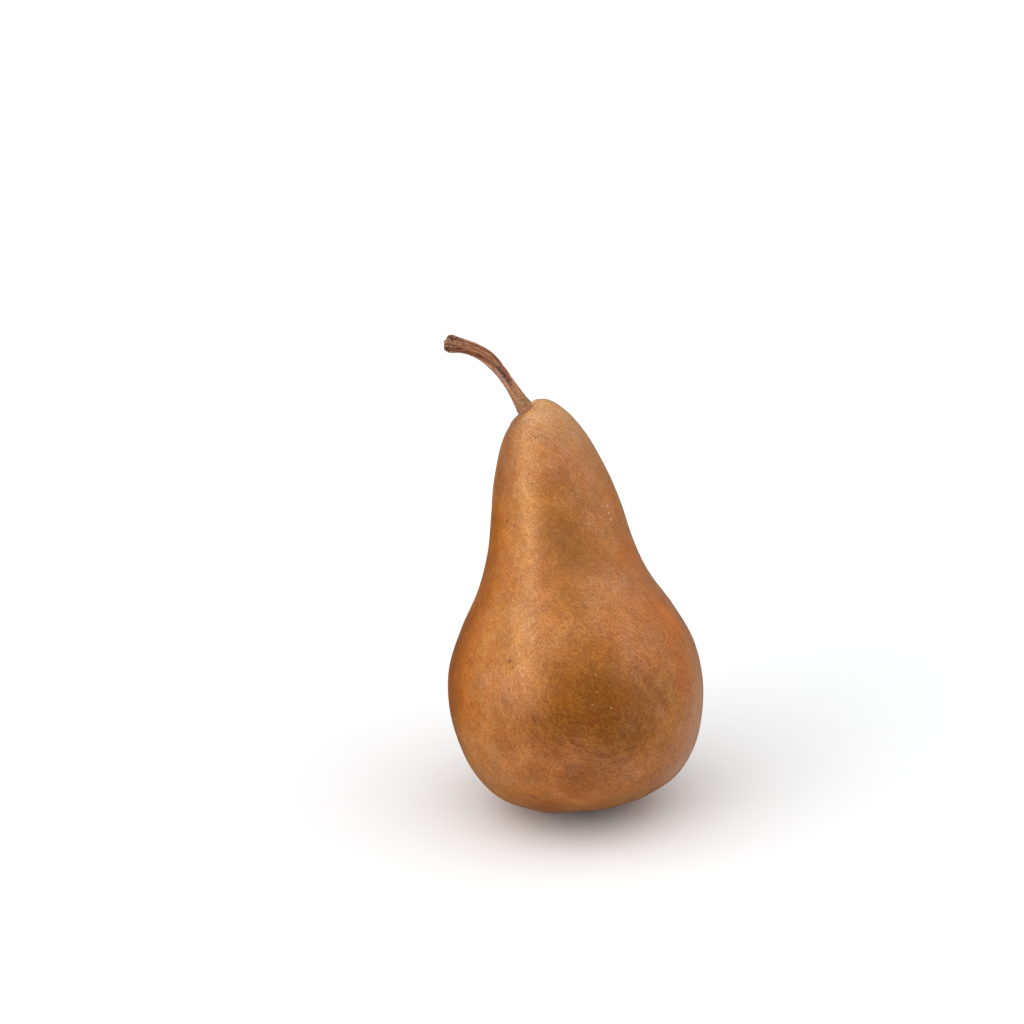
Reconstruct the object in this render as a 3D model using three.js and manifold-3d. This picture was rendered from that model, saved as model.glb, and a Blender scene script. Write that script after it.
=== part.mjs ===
import * as THREE from 'three';
import { mergeVertices } from 'three/addons/utils/BufferGeometryUtils.js';
import Module from 'manifold-3d';

// A whole russet pear with its stem and its dried calyx, in millimetres, +Z up. It stands on the back of its
// base and leans back and to the left. The origin is the middle of the flat spot that it rests on.
// Each piece is drawn in the pear's own frame, with +Z along its core line and the rim of its base at z = 1.

// How the pear stands
const leanBack = THREE.MathUtils.degToRad(20);
const leanLeft = THREE.MathUtils.degToRad(6.8);
const frameFromRestSpot = new THREE.Vector3(5.2, -15.6, 2.9);
const groundSize = 100;
const groundDepth = 20;

// Outline of the flesh: radius and height, from the middle of the eye basin to the top of the dome
const fleshOutline = [
  [0, 4.6],
  [4.4, 4.1],
  [7.6, 2.1],
  [11.4, 1.0],
  [17.4, 2.6],
  [25.7, 7.0],
  [31.6, 14.6],
  [35.0, 24.2],
  [36.4, 34.5],
  [35.1, 45.2],
  [30.4, 55.8],
  [24.5, 66.0],
  [20.8, 76.2],
  [18.6, 86.5],
  [16.3, 96.2],
  [12.4, 106.5],
  [6.7, 114.6],
  [0, 118.6],
];
const fleshSides = 60;
const fleshSteps = 3; // rows between two points of the outline

// How the flesh departs from a turned shape
const ribCount = 5; // soft ribs round the eye basin, one for each sepal
const ribHeight = 0.25;
const ribRadius = 13;
const ribTop = 24;
const dentDepth = 1; // the dome sinks a little round the foot of the stem
const dentRadius = 4.5;
const dentStart = 100;
const dentFull = 110;
const ovalness = 0.008; // widest across one diagonal, narrowest across the other
const sway = 0.5; // the neck swings to the right, and the dome back to the left
const swayStart = 50;
const swayMiddle = 94;
const swayLength = 56;

// Stem: the points that its middle line passes through, then its radius and the share of the way along
const stemPath = [
  [-2.0, 2.2, 110.4],
  [-4.7, 2.8, 116.0],
  [-8.8, 3.5, 124.5],
  [-12.9, 3.9, 131.1],
  [-16.6, 3.9, 134.3],
  [-21.0, 3.7, 136.5],
  [-25.6, 3.4, 138.1],
];
const [footX, footY] = stemPath[1]; // where the stem leaves the flesh
const stemOutline = [
  [0, 0],
  [1.9, 0.03],
  [2.35, 0.09],
  [2.55, 0.155],
  [2.1, 0.24],
  [1.7, 0.36],
  [1.7, 0.5],
  [1.85, 0.62],
  [1.8, 0.75],
  [1.95, 0.87],
  [2.3, 0.95],
  [1.9, 0.99],
  [0, 1],
];
const stemSides = 16;
const stemSteps = 2;
const stemRidges = 4;
const ridgeDepth = 0.09; // as a share of the radius
const ridgeTwist = THREE.MathUtils.degToRad(99); // from end to end

// Calyx: the outline of a cup sunk in the middle of the basin, from its hollow to its root, and its sepals
const cupOutline = [
  [0, 3.8],
  [1.2, 3.6],
  [2.1, 2.8],
  [3.0, 3.2],
  [2.6, 3.9],
  [2.4, 6.8],
  [0, 6.8],
];
const cupSides = 20;
const pitRadius = 2.9; // the pit in the flesh that the cup stands in
const pitTop = 7.1;
const sepalCount = 5;
const sepalLength = 4.2;
const sepalWidth = 2.6;
const sepalThickness = 0.7;
const sepalTaper = 0.75;
const sepalCurl = THREE.MathUtils.degToRad(70);
const sepalRoot = new THREE.Vector3(1.4, 0, 3.4);

const gap = 0.3; // between the flesh and the stem sunk in it
const mergeWithin = 1e-4;

const wasm = await Module();
wasm.setup();

// A closed geometry as a solid that can be joined and cut. Triangles with no area, as at a pole, are
// left out.
function toSolid(geometry) {
  const bare = geometry.clone();
  bare.deleteAttribute('normal');
  bare.deleteAttribute('uv');
  const merged = mergeVertices(bare, mergeWithin);
  const triangles = [];
  for (let i = 0; i < merged.index.count; i += 3) {
    const [a, b, c] = [0, 1, 2].map((corner) => merged.index.getX(i + corner));
    if (a !== b && b !== c && c !== a) triangles.push(a, b, c);
  }
  const mesh = new wasm.Mesh({
    numProp: 3,
    vertProperties: new Float32Array(merged.getAttribute('position').array),
    triVerts: new Uint32Array(triangles),
  });
  return new wasm.Manifold(mesh);
}

function toMesh(solid, color, roughness) {
  const { vertProperties, triVerts } = solid.getMesh();
  const geometry = new THREE.BufferGeometry();
  geometry.setAttribute('position', new THREE.BufferAttribute(vertProperties, 3));
  geometry.setIndex(new THREE.BufferAttribute(triVerts, 1));
  geometry.computeVertexNormals();
  return new THREE.Mesh(geometry, new THREE.MeshStandardMaterial({ color, roughness, metalness: 0 }));
}

// A smooth outline through the points. Its first and last spans are mirrored past the axis, so that the
// surface crosses the axis squarely.
function smoothOutline(points, steps) {
  const through = points.map(([radius, height]) => new THREE.Vector2(radius, height));
  const beyond = ({ x, y }) => new THREE.Vector2(-x, y);
  const curve = new THREE.SplineCurve([beyond(through[1]), ...through, beyond(through.at(-2))]);
  const count = (through.length - 1) * steps;
  const outline = [];
  for (let i = 0; i <= count; i += 1) {
    outline.push(curve.getPoint((1 + i / steps) / (through.length + 1)));
  }
  outline[0].x = 0;
  outline[count].x = 0;
  return outline;
}

// The outline turned about +Z
function turn(outline, sides) {
  return new THREE.LatheGeometry(outline, sides).rotateX(Math.PI / 2);
}

// The geometry with each of its points moved
function reshape(geometry, move) {
  const position = geometry.getAttribute('position');
  const point = new THREE.Vector3();
  for (let i = 0; i < position.count; i += 1) {
    point.fromBufferAttribute(position, i);
    move(point);
    position.setXYZ(i, point.x, point.y, point.z);
  }
  return geometry;
}

// How far a rib stands out downwards, most at ribRadius from the middle of the base
function ribAt({ x, y, z }) {
  const reach = (Math.hypot(x, y) / ribRadius) ** 2;
  const nearBase = 1 - THREE.MathUtils.smoothstep(z, 0, ribTop);
  return ribHeight * Math.cos(ribCount * Math.atan2(y, x)) * reach * Math.exp(1 - reach) * nearBase;
}

// How far the dome sinks round the foot of the stem
function dentAt({ x, y, z }) {
  const fromFoot = Math.hypot(x - footX, y - footY) / dentRadius;
  return dentDepth * Math.exp(-(fromFoot ** 2)) * THREE.MathUtils.smoothstep(z, dentStart, dentFull);
}

// How far the neck and dome swing to the right
function swayAt(z) {
  const swing = Math.sin((2 * Math.PI * (swayMiddle - z)) / swayLength);
  return sway * swing * THREE.MathUtils.smoothstep(z, swayStart, swayMiddle);
}

function growUnevenly(point) {
  const oval = 1 + ovalness * Math.sin(2 * Math.atan2(point.y, point.x));
  const drop = ribAt(point) + dentAt(point);
  point.set(point.x * oval + swayAt(point.z), point.y * oval, point.z - drop);
}

// The stem's outline turned, wound with low ridges, bent along its path and grown by a margin
function stemSolid(margin) {
  const path = new THREE.CatmullRomCurve3(stemPath.map((place) => new THREE.Vector3(...place)));
  const back = new THREE.Vector3(0, 1, 0);
  const along = new THREE.Vector3();
  const right = new THREE.Vector3();
  const stem = reshape(turn(smoothOutline(stemOutline, stemSteps), stemSides), (point) => {
    const share = THREE.MathUtils.clamp(point.z, 0, 1);
    const angle = Math.atan2(point.y, point.x);
    const plain = Math.hypot(point.x, point.y);
    const ridge = 1 + ridgeDepth * Math.cos(stemRidges * (angle + ridgeTwist * share));
    const radius = plain * ridge + margin * Math.min(1, plain);
    path.getTangentAt(share, along);
    right.crossVectors(back, along).normalize();
    path.getPointAt(share, point);
    point.addScaledVector(right, radius * Math.cos(angle));
    point.addScaledVector(right.cross(along).negate(), radius * Math.sin(angle));
    if (share === 0) point.addScaledVector(along, -margin);
  });
  return toSolid(stem);
}

function makeStem() {
  return toMesh(stemSolid(0), '#7f553e', 0.8);
}

// One sepal: a tapered blade that leaves the cup outwards and curls down past the rim of it
function sepalSolid(turnAngle) {
  const bendRadius = sepalLength / sepalCurl;
  const blade = new THREE.BoxGeometry(sepalLength, sepalWidth, sepalThickness, 6, 2, 1);
  reshape(blade, (point) => {
    const share = point.x / sepalLength + 0.5;
    const curl = sepalCurl * share;
    const fromBend = bendRadius + point.z;
    const width = point.y * (1 - sepalTaper * share ** 2);
    point.set(fromBend * Math.sin(curl), width, fromBend * Math.cos(curl) - bendRadius);
  });
  blade.translate(sepalRoot.x, sepalRoot.y, sepalRoot.z).rotateZ(turnAngle);
  return toSolid(blade);
}

// The cup with its sepals, joined in one solid
function makeCalyx() {
  const outline = cupOutline.map(([radius, height]) => new THREE.Vector2(radius, height));
  let calyx = toSolid(turn(outline, cupSides));
  for (let i = 0; i < sepalCount; i += 1) {
    calyx = calyx.add(sepalSolid((2 * Math.PI * i) / sepalCount));
  }
  return toMesh(calyx, '#33211a', 0.9);
}

function pitSolid() {
  const pit = new THREE.CylinderGeometry(pitRadius, pitRadius, pitTop, cupSides);
  return toSolid(pit.rotateX(Math.PI / 2).translate(0, 0, pitTop / 2));
}

// The ground under the rest spot, in the pear's own frame
function groundSolid(pearInWorld) {
  const ground = new THREE.BoxGeometry(groundSize, groundSize, groundDepth);
  ground.translate(0, 0, -groundDepth / 2).applyMatrix4(pearInWorld.clone().invert());
  return toSolid(ground);
}

// The flesh, flat where it rests, with a socket for the stem and a pit for the calyx
function makeFruit(pearInWorld) {
  const turned = turn(smoothOutline(fleshOutline, fleshSteps), fleshSides);
  const flesh = toSolid(reshape(turned, growUnevenly));
  const fruit = flesh.subtract(groundSolid(pearInWorld)).subtract(stemSolid(gap)).subtract(pitSolid());
  return toMesh(fruit, '#a8683a', 0.5);
}

const pear = new THREE.Group();
pear.rotation.set(-leanBack, -leanLeft, 0);
pear.position.copy(frameFromRestSpot);
pear.updateMatrix();

const pieces = { fruit: makeFruit(pear.matrix), stem: makeStem(), calyx: makeCalyx() };
for (const [name, piece] of Object.entries(pieces)) {
  piece.name = name;
  pear.add(piece);
}

export default new THREE.Group().add(pear);
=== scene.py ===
import itertools
import math

import bpy
import numpy as np
from mathutils import Matrix


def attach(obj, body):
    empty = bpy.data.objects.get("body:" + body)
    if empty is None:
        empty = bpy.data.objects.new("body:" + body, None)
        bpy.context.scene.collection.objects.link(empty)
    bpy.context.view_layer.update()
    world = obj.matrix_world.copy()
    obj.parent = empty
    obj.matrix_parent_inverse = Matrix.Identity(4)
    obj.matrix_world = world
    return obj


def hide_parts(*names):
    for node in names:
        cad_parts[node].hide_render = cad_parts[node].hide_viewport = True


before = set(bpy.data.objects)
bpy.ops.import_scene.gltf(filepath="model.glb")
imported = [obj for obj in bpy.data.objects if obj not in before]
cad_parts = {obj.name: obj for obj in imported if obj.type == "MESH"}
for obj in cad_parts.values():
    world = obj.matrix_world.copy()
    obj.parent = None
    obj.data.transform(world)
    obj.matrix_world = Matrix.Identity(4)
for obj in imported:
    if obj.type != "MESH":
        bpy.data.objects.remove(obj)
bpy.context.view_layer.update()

# A whole russet pear with a bent stem, on a white table. The pear's own frame has +Z along its core line;
# toRow turns that frame, in millimetres, into the row's frame, in metres.

millimetre = 0.001  # in metres
pixels = 1024  # width and height of the camera's frame

stance = {  # how the pear stands, as in the CAD part
    "leanBack": 20.0,
    "leanLeft": 6.8,
    "frameFromRestSpot": (5.2, -15.6, 2.9),
}
pearTurn = np.array(
    Matrix.Rotation(-math.radians(stance["leanBack"]), 3, "X")
    @ Matrix.Rotation(-math.radians(stance["leanLeft"]), 3, "Y")
)
pearPlace = np.array(stance["frameFromRestSpot"])


def toRow(points):
    # turned by the lean, moved to the frame's place, and made metres
    return (points @ pearTurn.T + pearPlace) * millimetre


def toPear(points):
    # toRow undone: made millimetres, moved back, and turned upright
    return (points / millimetre - pearPlace) @ pearTurn


def smoothStep(low, high, value):
    # 3t^2 - 2t^3 between low and high
    part = np.clip((value - low) / (high - low), 0, 1)
    return part * part * (3 - 2 * part)


def bell(value, middle, width):
    # exp(-((value - middle) / width)^2)
    return np.exp(-(((value - middle) / width) ** 2))


def throughPoints(padded, place):
    # Catmull-Rom: a cubic between the middle two of each four neighbours; place counts spans from the second point
    span = np.minimum(place.astype(int), len(padded) - 4)
    part = (place - span)[..., None]
    before, start, end, after = (padded[span + step] for step in range(4))
    return 0.5 * (
        2 * start
        + (end - before) * part
        + (2 * before - 5 * start + 4 * end - after) * part**2
        + (3 * start - before - 3 * end + after) * part**3
    )


def smoothOutline(points, along):
    # the curve through the points, along from 0 to 1; the end spans are mirrored past the axis
    through = np.array(points, float)
    padded = np.vstack([through[1] * (-1, 1), through, through[-2] * (-1, 1)])
    return throughPoints(padded, np.clip(along, 0, 1) * (len(through) - 1))


def latticeNoise(points, size, seed):
    # random values on a cubic lattice of that size, blended between its corners by an s-curve, from -1 to 1
    corners = 32  # along each side, before the values repeat
    table = np.random.default_rng(seed).uniform(-1, 1, (corners,) * 3)
    scaled = points / size
    cell = np.floor(scaled).astype(int)
    part = scaled - cell
    part = part * part * (3 - 2 * part)
    total = np.zeros(points.shape[:-1])
    for corner in itertools.product((0, 1), repeat=3):
        weight = np.where(corner, part, 1 - part).prod(-1)
        index = (cell + corner) % corners
        total += weight * table[index[..., 0], index[..., 1], index[..., 2]]
    return total


def outwardNormals(grid):
    # the cross product of the steps round and along a grid whose columns close on themselves, made 1 long
    padded = np.concatenate([grid[:, -1:], grid, grid[:, :1]], 1)
    around = padded[:, 2:] - padded[:, :-2]
    along = np.gradient(grid, axis=0)
    normal = np.cross(around, along)
    length = np.linalg.norm(normal, axis=-1, keepdims=True)
    return normal / np.maximum(length, 1e-9)  # a pole's may be nothing


def gridMesh(name, grid, values=None):
    # a closed skin over a grid: rows run from pole to pole, columns close on themselves, each pole is one point
    rows, columns = grid.shape[:2]
    inner = grid[1:-1].reshape(-1, 3)
    points = np.vstack([grid[:1].mean(1), inner, grid[-1:].mean(1)])
    last = len(points) - 1
    start = 1 + np.arange(rows - 2)[:, None] * columns
    here = start + np.arange(columns)
    beside = start + (np.arange(columns) + 1) % columns
    quads = np.stack([here[:-1], beside[:-1], beside[1:], here[1:]], -1).reshape(-1, 4)
    lowFan = np.stack([np.zeros(columns, int), beside[0], here[0]], -1)
    highFan = np.stack([np.full(columns, last), here[-1], beside[-1]], -1)
    mesh = bpy.data.meshes.new(name)
    mesh.from_pydata(points.tolist(), [], quads.tolist() + lowFan.tolist() + highFan.tolist())
    mesh.shade_smooth()
    for label, value in (values or {}).items():
        value = value.reshape(rows, columns, -1)
        flat = np.vstack([value[:1].mean(1), value[1:-1].reshape(-1, value.shape[2]), value[-1:].mean(1)])
        kind, field = ("FLOAT", "value") if value.shape[2] == 1 else ("FLOAT_VECTOR", "vector")
        mesh.attributes.new(label, kind, "POINT").data.foreach_set(field, flat.astype(np.float32).ravel())
    piece = bpy.data.objects.new(name, mesh)
    bpy.context.scene.collection.objects.link(piece)
    return piece


camera = {  # the place is from the rest spot, in mm
    "place": (-17.2, -637.4, 319.8),
    "elevation": 20.0,
    "lens": 85.0,
    "sensor": 36.0,
    "reach": 20,  # in metres
}


def makeCamera():
    # at its place, turned up from straight down by 90 degrees less its elevation
    data = bpy.data.cameras.new("camera")
    data.lens = camera["lens"]
    data.sensor_width = camera["sensor"]
    data.clip_end = camera["reach"]
    eye = bpy.data.objects.new("camera", data)
    eye.location = np.array(camera["place"]) * millimetre
    eye.rotation_euler = (math.radians(90 - camera["elevation"]), 0, 0)
    bpy.context.scene.collection.objects.link(eye)
    bpy.context.scene.camera = eye


def finderOn(grid):
    # a function that tells where a pixel of the camera's frame meets a surface, or the value of a field there: the
    # pixel's ray goes ahead by lens / sensor of the frame's width, and the vertex nearest to it that faces it counts
    points, normals = grid.reshape(-1, 3), outwardNormals(grid).reshape(-1, 3)
    tilt = math.radians(camera["elevation"])
    right = np.array([1, 0, 0])
    up = np.array([0, math.sin(tilt), math.cos(tilt)])
    ahead = np.array([0, math.cos(tilt), -math.sin(tilt)])
    scale = pixels * camera["lens"] / camera["sensor"]
    eye = np.array(camera["place"]) * millimetre
    glancing = -0.05  # cosine between ray and normal above which a vertex counts as turned away

    def find(pixel, field=None):
        ray = scale * ahead + (pixel[0] - pixels / 2) * right + (pixels / 2 - pixel[1]) * up
        ray /= np.linalg.norm(ray)
        aside = np.linalg.norm(np.cross(points - eye, ray), axis=1)
        best = np.argmin(np.where(normals @ ray < glancing, aside, np.inf))
        if field is not None:
            return field.reshape(len(points), -1)[best]
        # carried along the surface's tangent plane to the ray itself
        reach = (points[best] - eye) @ normals[best] / (ray @ normals[best])
        return toPear(eye + reach * ray)

    return find


fruit = {  # in mm, in the pear's own frame, as in the CAD part
    "outline": [
        (0, 4.6), (4.4, 4.1), (7.6, 2.1), (11.4, 1.0), (17.4, 2.6), (25.7, 7.0), (31.6, 14.6), (35.0, 24.2),
        (36.4, 34.5), (35.1, 45.2), (30.4, 55.8), (24.5, 66.0), (20.8, 76.2), (18.6, 86.5), (16.3, 96.2),
        (12.4, 106.5), (6.7, 114.6), (0, 118.6),
    ],
    "columns": 480, "rows": 204,
    "finerBy": 2.2, "finerBase": (0.28, 0.1), "finerDome": (0.8, 0.93),  # shares of the outline with closer rows
    "baseHeights": (8, 20), "domeHeights": (100, 108),  # where the base's forms end, and where the dome's start
    "ribCount": 5, "ribHeight": 0.15, "ribRadius": 13, "ribTop": 24,
    "stemFoot": (-4.7, 2.8), "dentDepth": 1.0, "dentRadius": 4.5, "dentStart": 100, "dentFull": 110,
    "ovalness": 0.008,
    "sway": 0.5, "swayStart": 50, "swayMiddle": 94, "swayLength": 56,
    "swell": 0.22, "swellSize": 21, "domeCalm": 0.7,  # broad unevenness, and the share of it that the dome lacks
    "ripple": 0.03, "rippleSize": 7,
    "shoulder": (-9.9, 0.0, 111.0), "shoulderRadius": 6.0, "shoulderHeight": 0.45,  # the fuller side of the dome
    "foldCount": 11, "foldHeight": 0.22, "foldRadius": 5.2, "foldWidth": 2.4,  # puckers in the eye basin
    "foldWander": 0.9, "foldWanderSize": 6,
    "footWander": 0.25, "footWanderSize": 2.6,  # how far the rings round the stem stray from round
    "lipRadius": 4.4, "lipWidth": 0.75, "lipHeight": 0.3,  # the lip of flesh round the stem
    "lipLeast": 0.6, "lipGain": 0.8, "lipBreakSize": 2.2, "lipBreak": (-0.5, 0.5),  # noise makes it lower in places
    "creaseRadius": 6.4, "creaseWidth": 1.5, "creaseDepth": 0.3,  # outside the lip, towards the front
    "creaseFront": (-0.2, 0.5), "creaseRight": (0.8, 0.4), "creaseLeft": (-0.6, -0.15), "creaseLeast": 0.15,
    # the darker ring outside the lip, partly the skin's own colour and partly painted shade in the crease round the
    # stem, and the brown eye basin
    "flushInner": (4.6, 6.0), "flushOuter": (9.0, 6.8), "flushBreakSize": 3.5, "flushBreak": (-0.6, 0.6),
    "basinRadii": (10.5, 4),
}


def rowPlaces():
    # rows lie closest at the dome and in the eye basin: equal steps of length, each weighed by how fine it is there
    along = np.linspace(0, 1, 4000)  # close enough to measure its length on
    line = smoothOutline(fruit["outline"], along)
    step = np.linalg.norm(np.diff(line, axis=0), axis=1)
    middle = (along[1:] + along[:-1]) / 2
    ends = smoothStep(*fruit["finerBase"], middle) + smoothStep(*fruit["finerDome"], middle)
    travelled = np.concatenate([[0], np.cumsum(step * (1 + fruit["finerBy"] * ends))])
    return np.interp(np.linspace(0, travelled[-1], fruit["rows"]), travelled, along)


def fleshSurface(along, angle):
    # the outline turned about the core line; ribs and the dent at the stem lower it, and the neck swings aside
    line = smoothOutline(fruit["outline"], along)
    radius, height = line[..., 0], line[..., 1]
    x, y = radius * np.cos(angle), radius * np.sin(angle)
    reach = (radius / fruit["ribRadius"]) ** 2
    rib = fruit["ribHeight"] * np.cos(fruit["ribCount"] * angle) * reach * np.exp(1 - reach)
    rib *= 1 - smoothStep(0, fruit["ribTop"], height)
    fromFoot = np.hypot(x - fruit["stemFoot"][0], y - fruit["stemFoot"][1])
    dent = fruit["dentDepth"] * bell(fromFoot, 0, fruit["dentRadius"])
    dent *= smoothStep(fruit["dentStart"], fruit["dentFull"], height)
    oval = 1 + fruit["ovalness"] * np.sin(2 * angle)
    swing = np.sin(2 * math.pi * (fruit["swayMiddle"] - height) / fruit["swayLength"])
    aside = fruit["sway"] * swing * smoothStep(fruit["swayStart"], fruit["swayMiddle"], height)
    return np.stack([x * oval + aside, y * oval, height - rib - dent], -1)


def fruitGrid():
    # the flesh pushed out along its normals by swells, folds, lip and shoulder, less the crease; swells are noise,
    # and the others are bells of the distance from their middle, folds times a cosine of the angle
    angle = np.linspace(0, 2 * math.pi, fruit["columns"], endpoint=False)[None, :]
    along, angle = np.broadcast_arrays(rowPlaces()[:, None], angle)
    skin = fleshSurface(along, angle)
    normal = outwardNormals(skin)
    radius = np.hypot(skin[..., 0], skin[..., 1])
    nearBase = 1 - smoothStep(*fruit["baseHeights"], skin[..., 2])
    nearTop = smoothStep(*fruit["domeHeights"], skin[..., 2])

    swell = fruit["swell"] * latticeNoise(skin, fruit["swellSize"], seed=3)
    swell += fruit["ripple"] * latticeNoise(skin, fruit["rippleSize"], seed=4)
    wander = fruit["foldWander"] * latticeNoise(skin, fruit["foldWanderSize"], seed=5)
    folds = np.cos(fruit["foldCount"] * angle + wander) * bell(radius, fruit["foldRadius"], fruit["foldWidth"])

    rightOf, behind = skin[..., 0] - fruit["stemFoot"][0], skin[..., 1] - fruit["stemFoot"][1]
    fromFoot = np.hypot(rightOf, behind)
    fromFoot = fromFoot + fruit["footWander"] * latticeNoise(skin, fruit["footWanderSize"], seed=6)
    frontward, rightward = -behind / np.maximum(fromFoot, 0.1), rightOf / np.maximum(fromFoot, 0.1)
    front = smoothStep(*fruit["creaseFront"], frontward)
    front = front * smoothStep(*fruit["creaseRight"], rightward) * smoothStep(*fruit["creaseLeft"], rightward)
    broken = smoothStep(*fruit["lipBreak"], latticeNoise(skin, fruit["lipBreakSize"], seed=7))
    lip = bell(fromFoot, fruit["lipRadius"], fruit["lipWidth"]) * nearTop
    lip = lip * (fruit["lipLeast"] + fruit["lipGain"] * broken)
    crease = bell(fromFoot, fruit["creaseRadius"], fruit["creaseWidth"]) * nearTop
    crease = crease * (fruit["creaseLeast"] + (1 - fruit["creaseLeast"]) * front)
    shoulder = bell(np.linalg.norm(skin - fruit["shoulder"], axis=-1), 0, fruit["shoulderRadius"])

    rise = swell * (1 - fruit["domeCalm"] * nearTop) + fruit["foldHeight"] * (folds * nearBase)
    rise = rise + fruit["lipHeight"] * lip - fruit["creaseDepth"] * crease
    rise = rise + fruit["shoulderHeight"] * shoulder
    skin = skin + normal * rise[..., None]
    row = toRow(skin)
    row[..., 2] = np.maximum(row[..., 2], 0)  # pressed flat where it rests

    basin = smoothStep(*fruit["basinRadii"], radius) * nearBase
    # a darker ring round the stem's foot: partly the skin's own colour, partly painted shade in the crease there
    creaseShadeAndFlush = smoothStep(*fruit["flushOuter"], fromFoot) * smoothStep(*fruit["flushInner"], fromFoot) * nearTop
    creaseShadeAndFlush = creaseShadeAndFlush * smoothStep(*fruit["flushBreak"], latticeNoise(skin, fruit["flushBreakSize"], seed=8))
    return row, {"lip": lip, "creaseShadeAndFlush": creaseShadeAndFlush, "basin": basin}


def linearColour(hexText):
    # each sRGB part c becomes ((c + 0.055) / 1.055)^2.4, or c / 12.92 in the darks
    parts = [int(hexText[i:i + 2], 16) / 255 for i in (1, 3, 5)]
    return (*[c / 12.92 if c <= 0.04045 else ((c + 0.055) / 1.055) ** 2.4 for c in parts], 1.0)


def addNode(tree, kind, inputs=(), **settings):
    # a node with its settings, and each of its inputs linked to a socket or set to a value
    node = tree.nodes.new(kind)
    for name, value in settings.items():
        setattr(node, name, value)
    for name, value in dict(inputs).items():
        if isinstance(value, bpy.types.NodeSocket):
            tree.links.new(value, node.inputs[name])
        else:
            node.inputs[name].default_value = value
    return node


def newFinish(name):
    # an empty finish, its node tree and its shader
    finish = bpy.data.materials.new(name)
    finish.use_nodes = True
    tree = finish.node_tree
    return finish, tree, tree.nodes["Principled BSDF"]


def mixColours(tree, share, first, second, blend="MIX"):
    # first + (second - first) * share, or with MULTIPLY first * second at a share of 1
    node = addNode(tree, "ShaderNodeMix", {0: share, 6: first, 7: second}, data_type="RGBA", blend_type=blend)
    return node.outputs[2]


def pearCoordinates(tree):
    # object coordinates in metres, turned into the pear's own frame, in mm
    place = addNode(tree, "ShaderNodeTexCoord")
    back = Matrix(pearTurn.T.tolist())
    settings = {
        0: place.outputs["Object"],
        "Location": tuple(-pearTurn.T @ pearPlace),
        "Rotation": tuple(back.to_euler("XYZ")),
        "Scale": (1 / millimetre,) * 3,
    }
    return addNode(tree, "ShaderNodeMapping", settings).outputs[0]


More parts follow.
